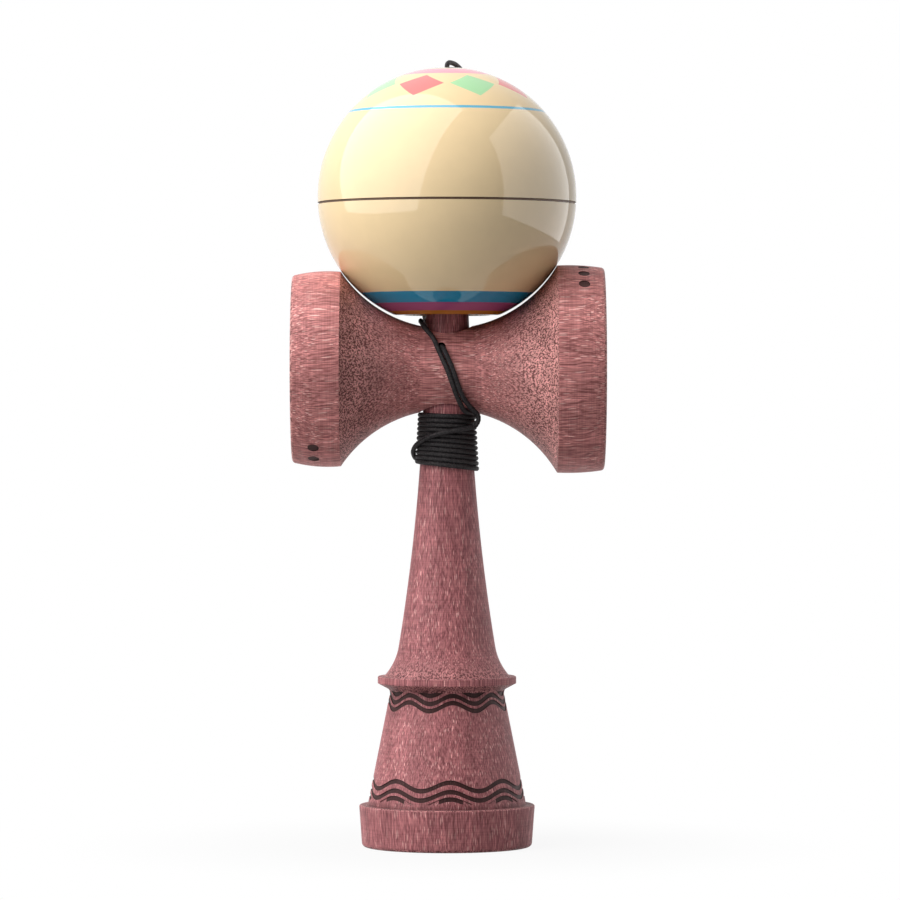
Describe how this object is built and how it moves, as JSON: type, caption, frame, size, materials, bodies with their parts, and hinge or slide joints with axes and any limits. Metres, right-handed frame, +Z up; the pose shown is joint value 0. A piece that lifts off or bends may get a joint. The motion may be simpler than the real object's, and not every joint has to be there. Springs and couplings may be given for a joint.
{
  "type": "kendama",
  "caption": "Wooden cup-and-ball toy: a turned handle with a spike and base cup, a cross piece with cups, and a bored ball on a string wound round the handle.",
  "frame": {"origin": "centre of the base's rim, on the plane that the kendama stands on and on the handle's axis", "axes": "+Z up the handle's axis, +X along the cross piece towards the big cup, -Y towards the front where the string leaves the cross piece"},
  "size_m": [0.072, 0.0615, 0.1817],
  "materials": {
    "ken_wood": "dark reddish hardwood, sanded and oiled, grain along the handle",
    "sarado_wood": "dark reddish hardwood, sanded and oiled, grain along the cross piece",
    "tama_lacquer": "cream gloss lacquer over wood, with painted bands",
    "bead_wood": "plain turned wood",
    "string_braid": "black braided nylon cord"
  },
  "bodies": {
    "ken": {"ken": "ken_wood", "string_anchor": "string_braid", "string_lead": "string_braid", "string_winding": "string_braid", "string_drop": "string_braid"},
    "sarado": {"sarado": "sarado_wood"},
    "string_end": {"bead": "bead_wood", "string_core": "string_braid", "string_riser": "string_braid"},
    "tama": {"tama": "tama_lacquer"}
  },
  "joints": [
    {"name": "sarado_pull", "type": "slide", "parent": "ken", "child": "sarado", "axis": [0, 0, 1], "range_m": [0, 0.066], "deforming": ["string_anchor", "string_lead", "string_drop"]},
    {"name": "tama_lift", "type": "slide", "parent": "sarado", "child": "string_end", "axis": [0, 0, 1], "range_m": [0, 0.05], "deforming": ["string_riser"]},
    {"name": "tama_spin", "type": "hinge", "parent": "string_end", "child": "tama", "pos_m": [0, 0, 0.1501], "axis": [0, 0, 1], "continuous": true}
  ]
}
